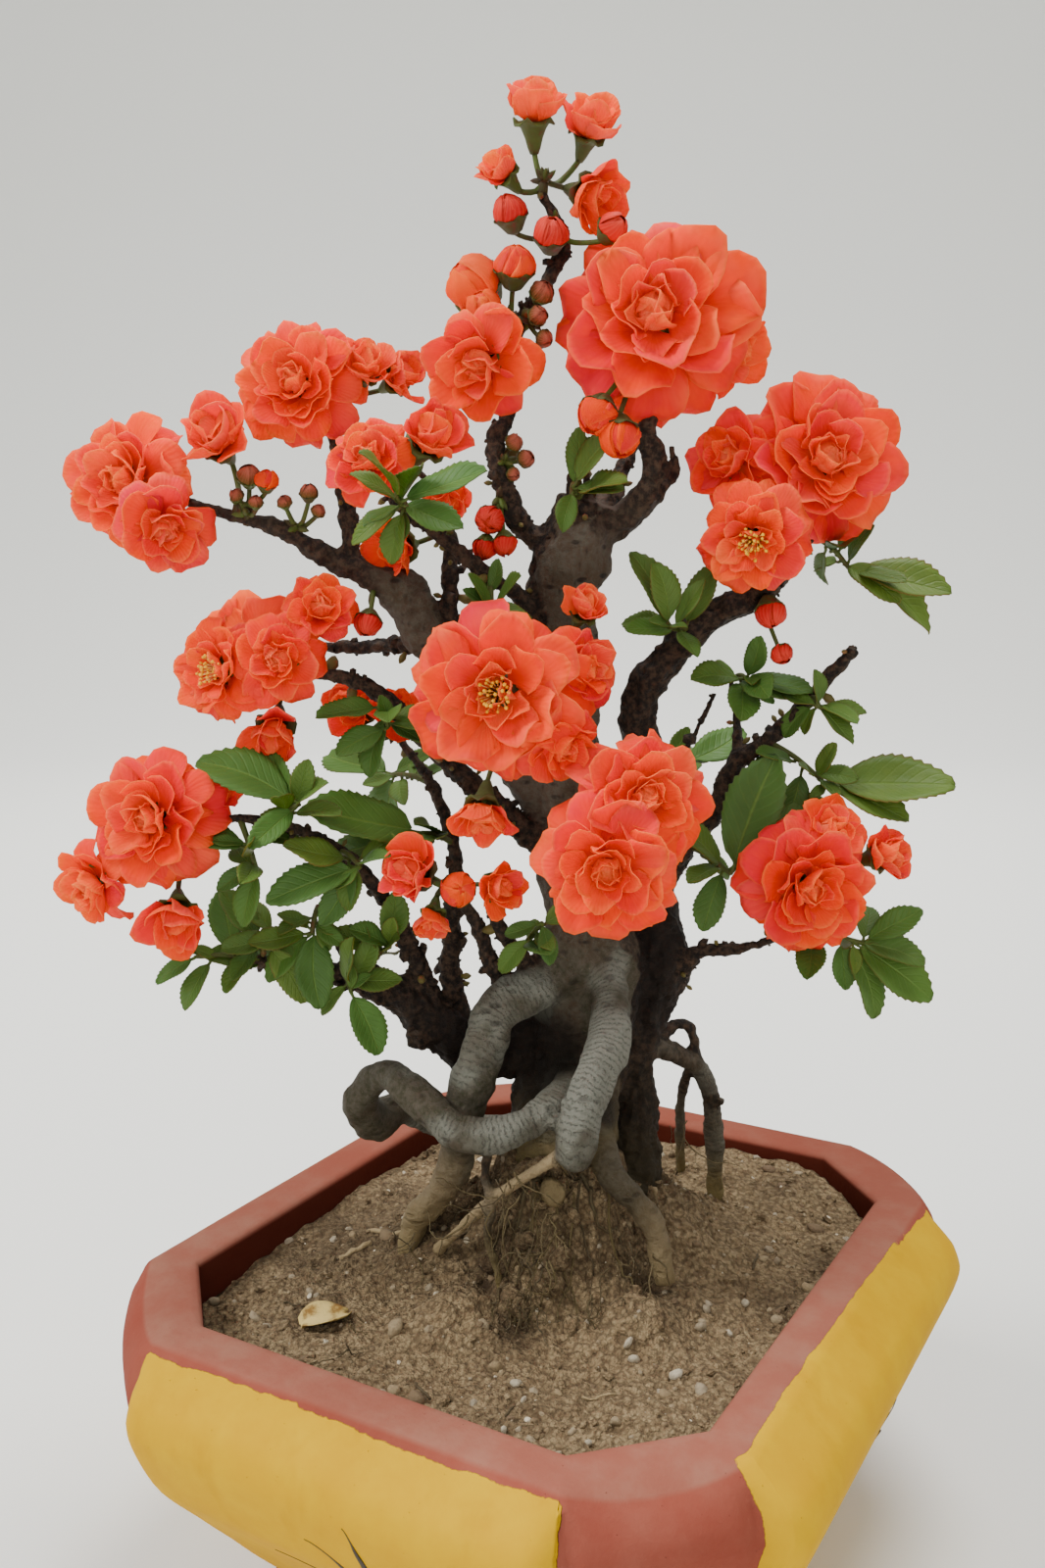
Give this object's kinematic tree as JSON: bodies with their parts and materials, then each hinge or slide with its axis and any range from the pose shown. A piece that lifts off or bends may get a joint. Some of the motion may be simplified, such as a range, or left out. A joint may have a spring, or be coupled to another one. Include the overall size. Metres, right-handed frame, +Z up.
{
  "type": "flowering quince bonsai",
  "caption": "Flowering quince bonsai on exposed roots, with ruffled coral-red double blooms and young leaves, in a deep rectangular clay pot with mustard panels.",
  "frame": {"origin": "middle of the pot's flat foot, where it rests", "axes": "+Z up along the tree, -Y out of the pot's shorter painted side that faces left of the picture's camera, +X out of its longer side"},
  "size_m": [0.2787, 0.3056, 0.5269],
  "materials": {
    "pot_clay": "matt",
    "soil": "rough",
    "bark": "rough",
    "petals": "satin",
    "buds": "satin",
    "leaves": "semi-gloss",
    "stamens": "matt"
  },
  "bodies": {
    "root": {"pot": "pot_clay", "soil": "soil", "wood": "bark", "bloom_left_ridge": "petals", "blooms_behind_left": "petals", "blooms_crown": "petals", "blooms_far_left": "petals", "blooms_front": "petals", "blooms_heart": "petals", "blooms_left_high": "petals", "blooms_left_low": "petals", "blooms_left_middle": "petals", "blooms_low_left": "petals", "blooms_low_middle": "petals", "blooms_middle_back": "petals", "blooms_rear_high": "petals", "blooms_rear_left": "petals", "blooms_rear_low": "petals", "blooms_rear_middle": "petals", "blooms_right_low": "petals", "blooms_right_top": "petals", "blooms_top": "petals", "blooms_upper_left": "petals", "bud_limb": "buds", "buds_middle": "buds", "buds_right": "buds", "buds_top": "buds", "leaf_crotch": "leaves", "leaf_cut_top": "leaves", "leaf_low_twig_side": "leaves", "leaf_trunk_front": "leaves", "leaf_under_bloom": "leaves", "leaves_cut_limb": "leaves", "leaves_far_right": "leaves", "leaves_left_inner": "leaves", "leaves_left_large": "leaves", "leaves_left_lower": "leaves", "leaves_left_stem": "leaves", "leaves_limb_end": "leaves", "leaves_low_left_front": "leaves", "leaves_low_stub": "leaves", "leaves_low_twig": "leaves", "leaves_rear_left": "leaves", "leaves_rear_right": "leaves", "leaves_red_branch": "leaves", "leaves_right_crotch": "leaves", "leaves_right_dark": "leaves", "leaves_right_low": "leaves", "leaves_right_middle": "leaves", "leaves_right_twig": "leaves", "stamens_heart": "stamens", "stamens_left_low": "stamens", "stamens_right_top": "stamens"}
  },
  "joints": []
}
